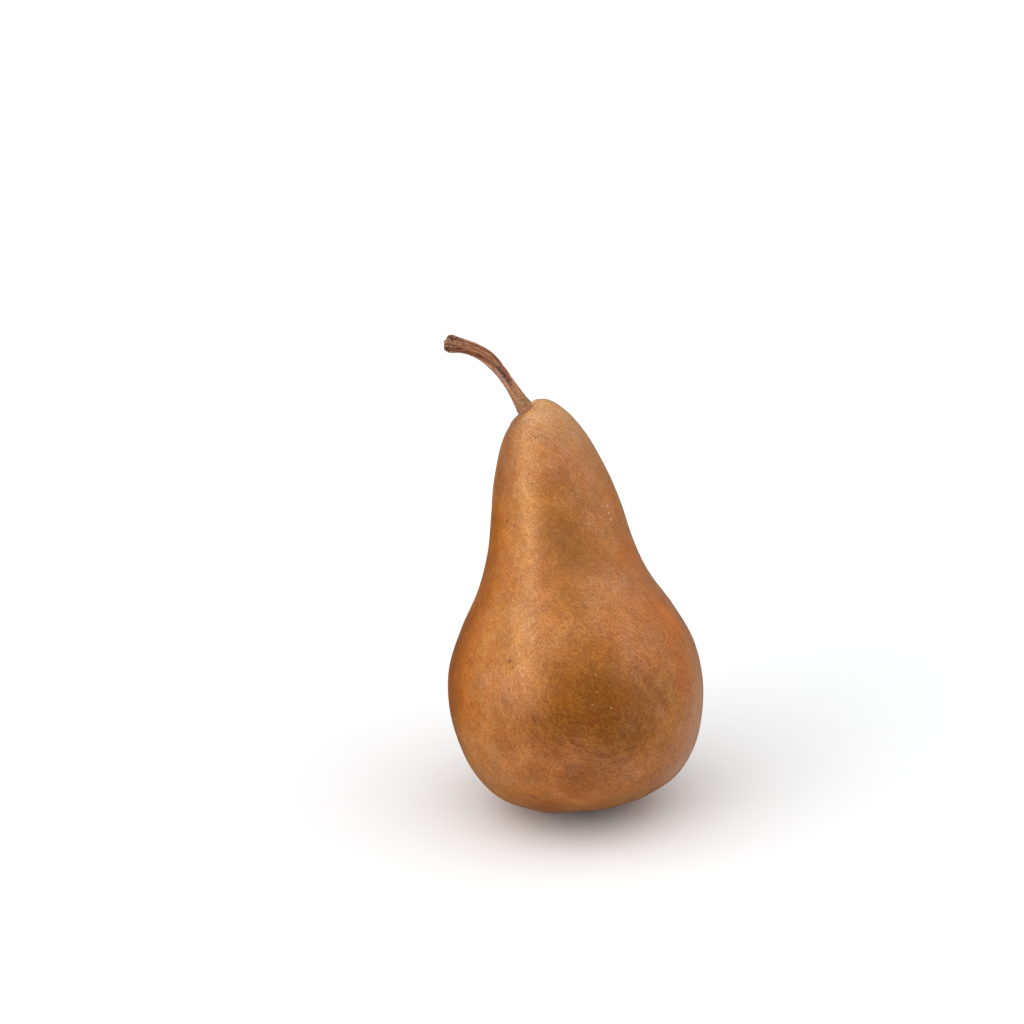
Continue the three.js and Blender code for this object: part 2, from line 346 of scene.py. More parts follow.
skinFinish = {  # sizes in mm; a place is the pixel of the camera's frame that it is seen at
    "ground": "#a66833",
    "patches": [  # size, stretch up the pear, colour, where it starts and is full in the noise, strength, shift
        (27, 1.0, "#b06c3f", 0.44, 0.62, 0.50, 22.1),
        (17, 1.5, "#ad772f", 0.50, 0.66, 0.45, 79.9),
        (12, 1.0, "#8c561f", 0.52, 0.70, 0.40, 137.7),
        (5.5, 1.6, "#b9774a", 0.50, 0.74, 0.40, 49.3),
    ],
    "mottles": [  # size, stretch, how fast red, green and blue rise with the noise, shift
        (0.34, 1.0, (1.4, 2.2, 3.6), 40.3),
        (0.85, 2.0, (0.38, 0.57, 0.92), 76.7),
        (2.1, 2.4, (0.36, 0.48, 0.62), 94.9),
        (4.4, 1.8, (0.32, 0.44, 0.52), 126.1),
        (3.4, 1.0, (0.14, -0.08, -0.9), 145.6),
        (9.0, 1.0, (0.12, -0.10, -0.8), 176.8),
    ],
    "stretchTurn": 28.0,  # degrees the stretched grain leans from the core line
    "tintsAndPaintedLight": [  # colour, strength, and the middle and radius of each place it covers; some are painted shade, painted highlight or painted reflected light, as noted
        # a dark olive band down the neck's front: partly olive skin, partly painted shade where the front turns away
        # from the lamps
        ("#895119", 0.70, [((558, 482), 7), ((563, 525), 9), ((571, 562), 11), ((575, 592), 8)]),
        ("#7c4811", 0.50, [((562, 542), 6), ((572, 548), 5)]),
        # the dark belly core, these four rows: partly an olive patch of the skin, partly painted shade where the
        # front turns away from the lamps
        ("#7f460c", 0.86, [((588, 690), 13), ((600, 710), 15), ((570, 722), 12), ((590, 660), 8)]),
        ("#784510", 0.55, [((598, 700), 11), ((620, 726), 12), ((568, 728), 10)]),
        ("#8a582e", 0.55, [((648, 690), 8), ((640, 718), 7)]),
        ("#8e500c", 0.65, [((556, 684), 7), ((553, 700), 6)]),
        # painted highlight on the belly's upper left
        ("#c48a55", 0.50, [((514, 614), 5), ((525, 630), 5)]),
        ("#b07a4a", 0.50, [((580, 432), 5)]),
        ("#87583a", 0.45, [((594, 766), 8)]),
        ("#ae6743", 0.35, [((640, 652), 8), ((622, 628), 7), ((566, 748), 7), ((604, 790), 7)]),
        ("#b5764f", 0.38, [((560, 455), 8), ((588, 478), 9), ((602, 515), 7), ((630, 590), 8)]),
        ("#ad7248", 0.40, [((508, 455), 6), ((504, 500), 5)]),
        # painted warm reflected light along the right flank's rim
        ("#b26120", 0.80, [((612, 500), 5), ((630, 555), 7), ((652, 605), 8), ((672, 630), 8), ((686, 680), 7)]),
        ("#b06f3c", 0.40, [((600, 520), 5), ((640, 580), 5), ((620, 610), 6)]),
        ("#9a6740", 0.60, [((515, 421), 4)]),
        ("#9c6440", 0.45, [((488, 775), 9), ((600, 775), 9), ((575, 795), 8)]),
        ("#8c5220", 0.55, [((507, 714), 7), ((522, 728), 7), ((510, 742), 6), ((540, 772), 6)]),
        ("#814414", 0.60, [((585, 812), 10), ((545, 808), 9), ((575, 780), 7)]),
        ("#965e36", 0.50, [((548, 450), 4)]),
        ("#a06b42", 0.35, [((539, 436), 5), ((562, 426), 4)]),
        # more of the dark belly core: partly olive skin, partly painted shade
        ("#7a4408", 0.50, [((553, 731), 7)]),
        ("#bf8052", 0.35, [((596, 591), 6), ((610, 505), 4)]),
        # more painted warm reflected light on the right flank's rim
        ("#c26a18", 0.50, [((667, 614), 5), ((674, 624), 5)]),
        ("#a8631c", 0.45, [((591, 655), 5), ((501, 619), 4)]),
        ("#8a5230", 0.40, [((609, 770), 6), ((585, 500), 5)]),
    ],
    "tintWander": 5.5, "tintWanderSize": 14,  # how far noise shifts the tints and the bands of painted light
    "tintEdge": (1.5, 0.1), "dotEdge": (1.3, 0.5),  # shares of the radius where a mark ends and is full
    "scattered": [  # marks of the sides and the back: spacing, largest radius, softness, strength, colour
        (2.6, 0.50, 0.3, 0.55, "#cda073"), (5.2, 1.0, 0.35, 0.6, "#6b3d28"), (8.2, 2.2, 0.6, 0.4, "#8a5230"),
    ],
    "scatteredFrom": (-6, 8), "scatteredSeldom": 0.3,
    "paintedLightBands": [  # all painted light, as noted; colour, strength, half width, and the pixels that its middle runs along
        # along the left edge: painted warm reflected light, then painted shade
        ("#a0560a", 0.65, 8.5, [(498, 515), (490, 560), (480, 605), (466, 645), (460, 700)]),
        ("#7f3e08", 0.75, 9.0, [(461, 632), (453, 662), (450, 695), (454, 730)]),
        # painted shade on the dome's left and along the neck's left edge
        ("#7d4d33", 0.60, 5.5, [(511, 425), (506, 445), (502, 480)]),
        ("#874a16", 0.45, 4.5, [(497, 485), (495, 525), (490, 565), (482, 598), (472, 622)]),
        # a painted highlight streak down the neck
        ("#bf8550", 0.50, 3.0, [(527, 440), (529, 490), (530, 540), (528, 590), (522, 640), (523, 670)]),
        # painted shade beside that highlight, on its left
        ("#a15e26", 0.35, 2.2, [(508, 480), (508, 530), (508, 575), (505, 605)]),
    ],
    "domeColour": "#c89765", "domeStart": 96, "domeFull": 119, "domeStrength": 0.75,
    "dots": [  # colour, strength, and the middle and radius of each small mark
        # painted shade round the stem's foot
        ("#764730", 0.75, [((526.5, 409), 2.7), ((523, 411.5), 1.6)]),
        ("#c99a74", 0.55, [((524.5, 404), 0.9), ((528, 402.3), 0.9), ((521.5, 408.5), 0.8)]),
        ("#5c3226", 0.75, [
            ((514.5, 526), 0.40), ((505.6, 521.6), 0.3), ((507, 520.8), 0.34), ((508.5, 520.1), 0.3),
            ((510, 661), 0.42), ((513, 668), 0.25), ((532.8, 716.5), 0.34), ((533.6, 718.5), 0.40),
            ((534.4, 720.5), 0.44), ((535.3, 722.8), 0.36), ((689.9, 702.5), 0.24), ((689.2, 704.5), 0.28),
            ((688.5, 706.5), 0.26), ((545, 411), 0.22), ((548, 409.5), 0.16), ((521, 557), 0.24), ((641, 661), 0.3),
        ]),
        ("#84492c", 0.8, [
            ((531, 434), 0.3), ((533, 436), 0.3), ((535.5, 437), 0.32), ((538, 436.6), 0.3), ((540, 435.4), 0.26),
            ((535, 797), 1.0), ((531, 795), 0.6), ((560, 468), 0.5), ((558, 473), 0.4),
        ]),
        ("#d6ac84", 0.75, [
            ((607.5, 505.8), 0.42), ((609, 513), 0.34), ((610.6, 519.7), 0.4), ((599, 472), 0.2), ((616, 581), 0.22),
            ((644, 598), 0.24),
        ]),
        ("#cda073", 0.5, [
            ((554.7, 497.6), 0.26), ((596, 675), 0.24), ((597, 692), 0.26), ((592.5, 705), 0.26), ((611, 708), 0.28),
            ((609.5, 686), 0.2), ((648, 694), 0.2), ((573, 653), 0.2), ((612, 662), 0.18),
        ]),
    ],
    # fibres in rings round the belly's middle: as long as ringLength at ringRadius, ringWidth apart
    "ringMiddle": (598, 692), "ringLength": 4.0, "ringRadius": 20, "ringWidth": 1.0, "ringReach": (42.0, 14.0),
    "ringRise": (1.12, 1.56, 1.76),
    "places": [  # attribute, where it starts to count, strength, colour
        # the flush ring is partly painted shade in the crease round the stem
        ("lip", 0.3, 0.4, "#c79a78"), ("creaseShadeAndFlush", 0.0, 0.3, "#6f4228"), ("basin", 0.1, 0.7, "#6b4526"),
    ],
    "grainSize": 0.5, "grainRise": 0.08, "grainEdge": (0.3, 0.7),
    # spacing, largest radius, share of cells without one, softness
    "pores": (1.7, 0.2, 0.3, 0.7), "poreColour": "#cb9a68", "poreStrength": 0.6,
    "specks": (1.3, 0.26, 0.35, 1.6), "speckColour": "#70401f", "speckStrength": (0.05, 0.45), "speckDepth": 0.6,
    "clusterSize": 9, "clusterEdge": (0.42, 0.62),
    "roughness": (0.26, 0.40), "specularLevel": 0.42, "specularTint": "#f6d8b8",
    "sheen": 0.12, "sheenRoughness": 0.35, "sheenTint": "#eccaa8",
}


def shareOf(tree, value, low, high, least=0.0, most=1.0):
    # least at low, most at high, by an s-curve between
    inputs = {0: value, 1: low, 2: high, 3: least, 4: most}
    return addNode(tree, "ShaderNodeMapRange", inputs, interpolation_type="SMOOTHSTEP").outputs[0]


def noiseOf(tree, place, size, detail=3.0, roughness=0.6, wobble=0.0):
    # fractal noise from 0 to 1: each of the detail's layers is half as large as the last, and roughness as strong
    inputs = {"Vector": place, "Scale": 1 / size, "Detail": detail, "Roughness": roughness, "Distortion": wobble}
    return addNode(tree, "ShaderNodeTexNoise", inputs)


def reckon(tree, operation, *values):
    # one sum of arithmetic on numbers
    return addNode(tree, "ShaderNodeMath", dict(enumerate(values)), operation=operation).outputs[0]


def reckonVector(tree, operation, *values):
    # the same on vectors; SCALE has its factor in the fourth socket
    inputs = {0: values[0], 3: values[1]} if operation == "SCALE" else dict(enumerate(values))
    node = addNode(tree, "ShaderNodeVectorMath", inputs, operation=operation)
    return node.outputs["Value" if operation in ("DISTANCE", "DOT_PRODUCT", "LENGTH") else "Vector"]


def axisOf(tree, vector, axis):
    # one part of a vector: 0, 1 or 2
    return addNode(tree, "ShaderNodeSeparateXYZ", {0: vector}).outputs[axis]


def markedBy(tree, colour, near, edge, strength, tint):
    # the tint over the colour, from none where near is the edge's first number to its strength at the second
    return mixColours(tree, shareOf(tree, near, *edge, 0, strength), colour, linearColour(tint))


def addRelief(tree, shader, relief, strength, height):
    # a bump of this height in mm where the relief is 1
    bump = addNode(tree, "ShaderNodeBump", {"Strength": strength, "Distance": height * millimetre, "Height": relief})
    tree.links.new(bump.outputs[0], shader.inputs["Normal"])


def nearness(tree, here, places):
    # the least of distance / radius over the places: 0 in the middle of one, 1 at its edge
    least = None
    for middle, radius in places:
        apart = reckon(tree, "MULTIPLY", reckonVector(tree, "DISTANCE", here, tuple(middle)), 1 / radius)
        least = apart if least is None else reckon(tree, "MINIMUM", least, apart)
    return least


def alongPath(tree, here, path, width):
    # distance from a line through the path's points, over the width: a point's share of a leg comes from its third
    # coordinate, and the least over the legs counts
    least = None
    height = axisOf(tree, here, 2)
    for start, end in zip(path[:-1], path[1:]):
        part = addNode(tree, "ShaderNodeMapRange", {0: height, 1: start[2], 2: end[2], 3: 0, 4: 1}).outputs[0]
        middle = reckonVector(tree, "MULTIPLY_ADD", part, tuple(end - start), tuple(start))
        apart = reckon(tree, "MULTIPLY", reckonVector(tree, "DISTANCE", here, middle), 1 / width)
        least = apart if least is None else reckon(tree, "MINIMUM", least, apart)
    return least


def cells(tree, here, channel, spacing, radius, seldom, soft):
    # round dots, one in each cell of a random pattern, of a random size below radius; seldom is the share without
    # one, soft the share of the radius over which it fades, and channel the colour that its chance is read from
    pattern = addNode(tree, "ShaderNodeTexVoronoi", {"Vector": here, "Scale": 1 / spacing, "Randomness": 1})
    chance = addNode(tree, "ShaderNodeSeparateColor", {0: pattern.outputs["Color"]}).outputs[channel]
    size = addNode(tree, "ShaderNodeMapRange", {0: chance, 1: seldom, 2: 1, 3: 0, 4: radius / spacing}).outputs[0]
    return shareOf(tree, reckon(tree, "SUBTRACT", pattern.outputs["Distance"], size), 0, -soft * radius / spacing)


def bellyFibres(tree, here, middle, axis):
    # fine fibres in rings about an axis: noise over the direction from its middle and over the distance to it, less
    # its mean, faded with the distance
    offset = reckonVector(tree, "SUBTRACT", here, tuple(middle))
    raised = reckonVector(tree, "SCALE", tuple(axis), reckonVector(tree, "DOT_PRODUCT", offset, tuple(axis)))
    aside = reckonVector(tree, "NORMALIZE", reckonVector(tree, "SUBTRACT", offset, raised))
    aside = reckonVector(tree, "SCALE", aside, skinFinish["ringRadius"] / skinFinish["ringLength"])
    apart = reckonVector(tree, "LENGTH", offset)
    outward = reckonVector(tree, "SCALE", tuple(axis), reckon(tree, "MULTIPLY", apart, 1 / skinFinish["ringWidth"]))
    place = reckonVector(tree, "ADD", aside, outward)
    fibre = reckon(tree, "SUBTRACT", noiseOf(tree, place, 1, detail=4, roughness=0.7, wobble=1.2).outputs[0], 0.5)
    return reckon(tree, "MULTIPLY", fibre, shareOf(tree, apart, *skinFinish["ringReach"]))


def russetSkin(find, normals):
    # the dry, slightly waxy cork of a russet pear: satin, finely grained, patched gold and copper, with pale pores,
    # and with painted shade, highlight and reflected light in its colour in places
    finish, tree, shader = newFinish("russetPearSkin")
    here = pearCoordinates(tree)
    colour = linearColour(skinFinish["ground"])
    for size, stretch, tint, start, full, strength, shift in skinFinish["patches"]:
        inputs = {0: here, "Scale": (1, 1, 1 / stretch), "Location": (shift, 0, 0)}
        place = addNode(tree, "ShaderNodeMapping", inputs).outputs[0]
        noise = noiseOf(tree, place, size, detail=4, roughness=0.6, wobble=0.4).outputs[0]
        colour = markedBy(tree, colour, noise, (start, full), strength, tint)

    # the dome, the tints (some of them painted shade, highlight and reflected light) and the bands of painted light,
    # their edges carried about by noise
    wander = noiseOf(tree, here, skinFinish["tintWanderSize"], detail=2, roughness=0.5).outputs["Color"]
    wander = reckonVector(tree, "SUBTRACT", wander, (0.5, 0.5, 0.5))
    wandered = reckonVector(tree, "ADD", here, reckonVector(tree, "SCALE", wander, skinFinish["tintWander"]))
    height, dome = axisOf(tree, wandered, 2), (skinFinish["domeStart"], skinFinish["domeFull"])
    colour = markedBy(tree, colour, height, dome, skinFinish["domeStrength"], skinFinish["domeColour"])
    for tint, strength, places in skinFinish["tintsAndPaintedLight"]:
        near = nearness(tree, wandered, [(find(pixel), radius) for pixel, radius in places])
        colour = markedBy(tree, colour, near, skinFinish["tintEdge"], strength, tint)
    for tint, strength, width, pixelPath in skinFinish["paintedLightBands"]:
        near = alongPath(tree, wandered, [find(pixel) for pixel in pixelPath], width)
        colour = markedBy(tree, colour, near, skinFinish["tintEdge"], strength, tint)

    # belly fibres and mottles multiply the colour by 1 more or less
    fibre = bellyFibres(tree, here, find(skinFinish["ringMiddle"]), find(skinFinish["ringMiddle"], normals))
    factor = reckonVector(tree, "MULTIPLY_ADD", fibre, skinFinish["ringRise"], (1, 1, 1))
    colour = mixColours(tree, 1.0, colour, factor, "MULTIPLY")
    lean = math.radians(skinFinish["stretchTurn"])
    for size, stretch, rise, shift in skinFinish["mottles"]:
        turned = {0: here, "Rotation": (0, lean, 0), "Location": (0, shift, 0)}
        place = addNode(tree, "ShaderNodeMapping", turned).outputs[0]
        place = reckonVector(tree, "MULTIPLY", place, (1, 1, 1 / stretch))
        noise = noiseOf(tree, place, size, detail=1.5, roughness=0.6).outputs[0]
        factor = reckonVector(tree, "MULTIPLY_ADD", noise, rise, tuple(1 - part / 2 for part in rise))
        colour = mixColours(tree, 1.0, colour, factor, "MULTIPLY")

    # dark specks in clusters, and pale pores
    clusters = noiseOf(tree, here, skinFinish["clusterSize"], detail=2).outputs[0]
    clusters = shareOf(tree, clusters, *skinFinish["clusterEdge"], *skinFinish["speckStrength"])
    specks = reckon(tree, "MULTIPLY", cells(tree, here, 1, *skinFinish["specks"]), clusters)
    pores = cells(tree, here, 0, *skinFinish["pores"])
    palePores = reckon(tree, "MULTIPLY", pores, skinFinish["poreStrength"])
    colour = mixColours(tree, specks, colour, linearColour(skinFinish["speckColour"]))
    colour = mixColours(tree, palePores, colour, linearColour(skinFinish["poreColour"]))

    # scattered marks towards the back, then the small marks that have a place of their own
    behind = shareOf(tree, axisOf(tree, here, 1), *skinFinish["scatteredFrom"])
    for spacing, radius, soft, strength, tint in skinFinish["scattered"]:
        marks = cells(tree, wandered, 2, spacing, radius, skinFinish["scatteredSeldom"], soft)
        amount = reckon(tree, "MULTIPLY", reckon(tree, "MULTIPLY", marks, behind), strength)
        colour = mixColours(tree, amount, colour, linearColour(tint))
    for tint, strength, places in skinFinish["dots"]:
        near = nearness(tree, here, [(find(pixel), radius) for pixel, radius in places])
        colour = markedBy(tree, colour, near, skinFinish["dotEdge"], strength, tint)
    for name, start, strength, tint in skinFinish["places"]:
        value = addNode(tree, "ShaderNodeAttribute", attribute_name=name).outputs["Fac"]
        colour = markedBy(tree, colour, value, (start, 1), strength, tint)
    tree.links.new(colour, shader.inputs["Base Color"])

    grain = noiseOf(tree, here, skinFinish["grainSize"], detail=3, roughness=0.7).outputs[0]
    rough = shareOf(tree, grain, *skinFinish["grainEdge"], *skinFinish["roughness"])
    tree.links.new(rough, shader.inputs["Roughness"])
    shader.inputs["Specular IOR Level"].default_value = skinFinish["specularLevel"]
    shader.inputs["Specular Tint"].default_value = linearColour(skinFinish["specularTint"])
    shader.inputs["Sheen Weight"].default_value = skinFinish["sheen"]
    shader.inputs["Sheen Roughness"].default_value = skinFinish["sheenRoughness"]
    shader.inputs["Sheen Tint"].default_value = linearColour(skinFinish["sheenTint"])
    sunk = reckon(tree, "MULTIPLY", specks, skinFinish["speckDepth"])
    relief = reckon(tree, "SUBTRACT", reckon(tree, "ADD", grain, pores), sunk)
    addRelief(tree, shader, relief, 1.0, skinFinish["grainRise"])
    return finish


stem = {  # in mm, in the pear's own frame, as in the CAD part
    "path": [
        (-2.0, 2.2, 110.4), (-4.7, 2.8, 116.0), (-8.8, 3.5, 124.5), (-12.9, 3.9, 131.1), (-16.6, 3.9, 134.3),
        (-21.0, 3.7, 136.5), (-25.6, 3.4, 138.1),
    ],
    "outline": [
        (0, 0), (1.9, 0.03), (2.35, 0.09), (2.55, 0.155), (2.1, 0.24), (1.7, 0.36), (1.7, 0.5), (1.85, 0.62),
        (1.8, 0.75), (1.95, 0.87), (2.3, 0.95), (1.9, 0.99), (0, 1),
    ],
    "columns": 112, "rows": 330,
    "length": 39.0, "barkRadius": 1.9, "pathStep": 0.002,
    "upper": (0.2, 0.5), "knob": (0.82, 0.95), "brokenFrom": 0.985,  # shares of the way from the foot to the tip
    "ridges": 4, "ridgeDepth": 0.09, "ridgeTwist": 99.0, "footRidge": 0.35,  # depths are shares of the radius
    "cords": 13, "cordDepth": 0.05, "cordWander": 1.5, "cordWanderSize": 1.5, "cordStretch": 0.2,
    "lobes": 5, "lobeDepth": 0.07, "lobeTurn": 1.2, "lobeNoise": 1.4, "lobeNoiseSize": 1.6,
    "fibreSize": 0.55, "fibreStretch": 0.14, "fibreDepth": (0.015, 0.05),  # at the foot, and how much more above
    "crumbSize": 0.5, "crumbStretch": 0.6, "crumbDepth": (0.01, 0.03),
    "breakSize": 0.8, "breakDepth": 0.35,
    "heightParts": (0.4, 0.5, 0.7, 0.3),  # ridges, cords, fibres and crumbs in the height that the finish reads
}


def pathPlaces(points, along):
    # the curve through the points, with the ends carried straight on, taken at equal steps of its length
    through = np.array(points, float)
    padded = np.vstack([2 * through[0] - through[1], through, 2 * through[-1] - through[-2]])
    fine = np.linspace(0, len(through) - 1, 2000)  # close enough to measure its length on
    steps = np.linalg.norm(np.diff(throughPoints(padded, fine), axis=0), axis=1)
    travelled = np.concatenate([[0], np.cumsum(steps)])
    return throughPoints(padded, np.interp(along * travelled[-1], travelled, fine))


def stemGrid():
    # a ring carried along the path; its radius is the outline's times 1 + ridges, cords and lobes, which are cosines
    # of the twisted angle, + noise. Bark holds the same surface as a straight rod, to stretch noise along it
    outline = smoothOutline(stem["outline"], np.linspace(0, 1, stem["rows"]))
    share = np.clip(outline[:, 1], 0, 1)
    middle = pathPlaces(stem["path"], share)
    ahead = pathPlaces(stem["path"], np.minimum(share + stem["pathStep"], 1))
    ahead -= pathPlaces(stem["path"], np.maximum(share - stem["pathStep"], 0))
    ahead /= np.linalg.norm(ahead, axis=1, keepdims=True)
    right = np.cross((0, 1, 0), ahead)
    right /= np.linalg.norm(right, axis=1, keepdims=True)
    back = np.cross(ahead, right)

    angle = np.linspace(0, 2 * math.pi, stem["columns"], endpoint=False)[None, :]
    share = np.broadcast_to(share[:, None], (stem["rows"], stem["columns"]))
    winding = angle + math.radians(stem["ridgeTwist"]) * share
    rod = (np.cos(winding) * stem["barkRadius"], np.sin(winding) * stem["barkRadius"], share * stem["length"])
    bark = np.stack(rod, -1)
    ridge = np.cos(stem["ridges"] * winding)
    wander = stem["cordWander"] * latticeNoise(bark * (1, 1, stem["cordStretch"]), stem["cordWanderSize"], seed=14)
    cord = np.cos(stem["cords"] * winding + wander)
    fibre = latticeNoise(bark * (1, 1, stem["fibreStretch"]), stem["fibreSize"], seed=11)
    crumb = latticeNoise(bark * (1, 1, stem["crumbStretch"]), stem["crumbSize"], seed=12)
    upper, knob = smoothStep(*stem["upper"], share), smoothStep(*stem["knob"], share)
    lobes = np.cos(stem["lobes"] * winding + stem["lobeTurn"])
    lobes += stem["lobeNoise"] * latticeNoise(bark, stem["lobeNoiseSize"], seed=13)

    rise = 1 + stem["ridgeDepth"] * ridge * (stem["footRidge"] + (1 - stem["footRidge"]) * upper)
    rise = rise + stem["cordDepth"] * cord * upper
    rise = rise + (stem["fibreDepth"][0] + stem["fibreDepth"][1] * upper) * fibre
    rise = rise + (stem["crumbDepth"][0] + stem["crumbDepth"][1] * upper) * crumb + stem["lobeDepth"] * knob * lobes
    ring = np.cos(angle)[..., None] * right[:, None] + np.sin(angle)[..., None] * back[:, None]
    grid = middle[:, None] + (outline[:, :1] * rise)[..., None] * ring
    jagged = stem["breakDepth"] * latticeNoise(bark * (1, 1, 0), stem["breakSize"], seed=15)
    grid = grid + np.where(share > stem["brokenFrom"], jagged, 0)[..., None] * ahead[:, None]
    height = sum(part * field for part, field in zip(stem["heightParts"], (ridge, cord, fibre, crumb)))
    return toRow(grid), {"share": share, "height": height, "bark": bark}


stemFinish = {  # sizes in mm; shares are of the way from the foot to the tip
    "ramp": [  # share, colour
        (0.12, "#865c34"), (0.24, "#8f643e"), (0.34, "#a26c46"), (0.48, "#9c5f3a"), (0.72, "#8f5633"),
        (0.88, "#855032"), (0.98, "#855c3a"),
    ],
    "streakSize": 0.42, "streakStretch": 0.13, "grainSize": 0.4,
    "upper": (0.24, 0.42, 0.12, 1),  # share where the layers start and are full, and how much of them shows there
    "layers": [  # what it follows, where it starts and is full in that, strength, colour
        ("streak", 0.50, 0.66, 0.75, "#6c2f20"), ("streak", 0.47, 0.33, 0.60, "#c0947a"),
        ("height", 0.05, -0.9, 0.75, "#4a2216"), ("height", 0.35, 1.2, 0.65, "#c8926c"),
    ],
    # share where it starts and is full, its strength there, where it starts and is full in the grain, colour
    "footSpecks": ((0.5, 0.25), (0, 0.55), (0.52, 0.66), "#c59b82"),
    "cracks": ((0.86, 0.95), (0, 1), (0.52, 0.40), "#271a15"),
    "flecks": ((0.80, 0.95), (0.25, 0.9), (0.56, 0.68), "#cbb29a"),
    "markEdge": (1.6, 0.5),
    "marks": [  # colour, strength, half width, how far the grain breaks its edge, and the pixels along its middle
        # partly red-brown colour, partly painted shade of a furrow along the stem's middle
        ("#5a281c", 0.50, 0.24, 4.0, [(494, 362), (485, 354), (474, 347.5), (462, 344)]),
        ("#6a3426", 0.55, 0.20, 4.0, [(488, 352), (478, 345), (466, 340)]),
        # painted highlight along the stem's upper edge above that furrow
        ("#cfa58a", 0.60, 0.22, 4.0, [(500, 361), (491, 352), (480, 344), (468, 338)]),
        # painted light over the shade of a cord's furrow
        ("#a5714c", 0.50, 0.34, 4.0, [(497, 367), (492, 362), (486, 357), (480, 353)]),
        ("#4c2f2c", 0.50, 1.10, 6.0, [(496, 366), (502, 373.5), (508, 382)]),
        ("#33202a", 0.70, 0.36, 9.0, [(498.5, 367.5), (503.5, 374), (508, 380.5)]),
        ("#c3aca0", 0.40, 0.22, 12.0, [(495, 369), (500, 375), (505, 382), (510, 389)]),
    ],
    "grainRise": (1.0, 1.3, 1.6),  # how fast red, green and blue rise with the grain
    "roughness": 0.72, "specularLevel": 0.3, "reliefStrength": 0.8, "reliefRise": 0.12,
}


def speckled(tree, colour, share, grain, specks):
    # the specks' tint over the colour, by how far along the stem it is times how high the grain is
    reach, strength, edge, tint = specks
    amount = reckon(tree, "MULTIPLY", shareOf(tree, share, *reach, *strength), shareOf(tree, grain, *edge))
    return mixColours(tree, amount, colour, linearColour(tint))


def stemBark(find, barkField):
    # the dry bark of a fruit stalk: matt, corded along, red-brown with dark furrows and a smooth tan foot; painted
    # shade along one furrow and painted highlight beside it
    finish, tree, shader = newFinish("driedStalkBark")
    share = addNode(tree, "ShaderNodeAttribute", attribute_name="share").outputs["Fac"]
    height = addNode(tree, "ShaderNodeAttribute", attribute_name="height").outputs["Fac"]
    bark = addNode(tree, "ShaderNodeAttribute", attribute_name="bark").outputs["Vector"]
    ramp = addNode(tree, "ShaderNodeValToRGB", {0: share})
    while len(ramp.color_ramp.elements) < len(stemFinish["ramp"]):
        ramp.color_ramp.elements.new(0.5)
    for element, (place, tint) in zip(ramp.color_ramp.elements, stemFinish["ramp"]):
        element.position = place
        element.color = linearColour(tint)
    colour = ramp.outputs[0]

    upper = shareOf(tree, share, *stemFinish["upper"])
    along = addNode(tree, "ShaderNodeMapping", {0: bark, "Scale": (1, 1, stemFinish["streakStretch"])}).outputs[0]
    streak = noiseOf(tree, along, stemFinish["streakSize"], detail=3, roughness=0.6).outputs[0]
    grain = noiseOf(tree, bark, stemFinish["grainSize"], detail=4, roughness=0.7).outputs[0]
    fields = {"streak": streak, "height": height}
    for name, start, full, strength, tint in stemFinish["layers"]:
        value = shareOf(tree, fields[name], start, full)
        amount = reckon(tree, "MULTIPLY", reckon(tree, "MULTIPLY", value, upper), strength)
        colour = mixColours(tree, amount, colour, linearColour(tint))
    colour = speckled(tree, colour, share, grain, stemFinish["footSpecks"])
    rise = stemFinish["grainRise"]
    factor = reckonVector(tree, "MULTIPLY_ADD", grain, rise, tuple(1 - part / 2 for part in rise))
    colour = mixColours(tree, 1.0, colour, factor, "MULTIPLY")

    uneven = reckon(tree, "SUBTRACT", grain, 0.5)
    for tint, strength, width, broken, pixelPath in stemFinish["marks"]:
        near = alongPath(tree, bark, [find(pixel, barkField) for pixel in pixelPath], width)
        near = reckon(tree, "MULTIPLY_ADD", uneven, broken, near)
        colour = markedBy(tree, colour, near, stemFinish["markEdge"], strength, tint)
    colour = speckled(tree, colour, share, grain, stemFinish["cracks"])
    colour = speckled(tree, colour, share, grain, stemFinish["flecks"])
    tree.links.new(colour, shader.inputs["Base Color"])
    shader.inputs["Roughness"].default_value = stemFinish["roughness"]
    shader.inputs["Specular IOR Level"].default_value = stemFinish["specularLevel"]
    relief = reckon(tree, "ADD", grain, streak)
    addRelief(tree, shader, relief, stemFinish["reliefStrength"], stemFinish["reliefRise"])
    return finish


calyx = {  # in mm, in the pear's own frame, as in the CAD part
    "cup": [(0, 3.8), (1.2, 3.6), (2.1, 2.8), (3.0, 3.2), (2.6, 3.9), (2.4, 6.8), (0, 6.8)],
    "cupColumns": 64, "cupRows": 60,
    "cupCrumple": 0.12, "cupCrumpleSize": 1.1,
    "sepals": 5, "length": 4.2, "width": 2.6, "thickness": 0.7, "taper": 0.75, "curl": 70.0,
    "root": (1.4, 3.4),
    "sepalColumns": 24, "sepalRows": 30,
    "curlSpread": (0.75, 1.15), "turnSpread": 0.12,  # shares of the curl, and radians
    "tipThinning": 0.5, "gutter": 0.35, "endRoundness": 16,
    "sepalCrumple": 0.16, "sepalCrumpleSize": 0.8,
    "dark": "#241611", "pale": "#664835", "paleFrom": (0.4, 0.7),
    "grainSize": 0.9, "roughness": 0.9, "reliefStrength": 0.8, "reliefRise": 0.15,
}


def cupGrid():
    # the cup's outline turned about the core line, and crumpled by noise away from its poles
    outline = smoothOutline(calyx["cup"], np.linspace(0, 1, calyx["cupRows"]))
    angle = np.linspace(0, 2 * math.pi, calyx["cupColumns"], endpoint=False)[None, :]
    grid = np.stack([outline[:, :1] * np.cos(angle), outline[:, :1] * np.sin(angle), outline[:, 1:] + 0 * angle], -1)
    crumple = calyx["cupCrumple"] * latticeNoise(grid, calyx["cupCrumpleSize"], seed=21)
    return toRow(grid + crumple[..., None] * (grid[..., :1] != 0))


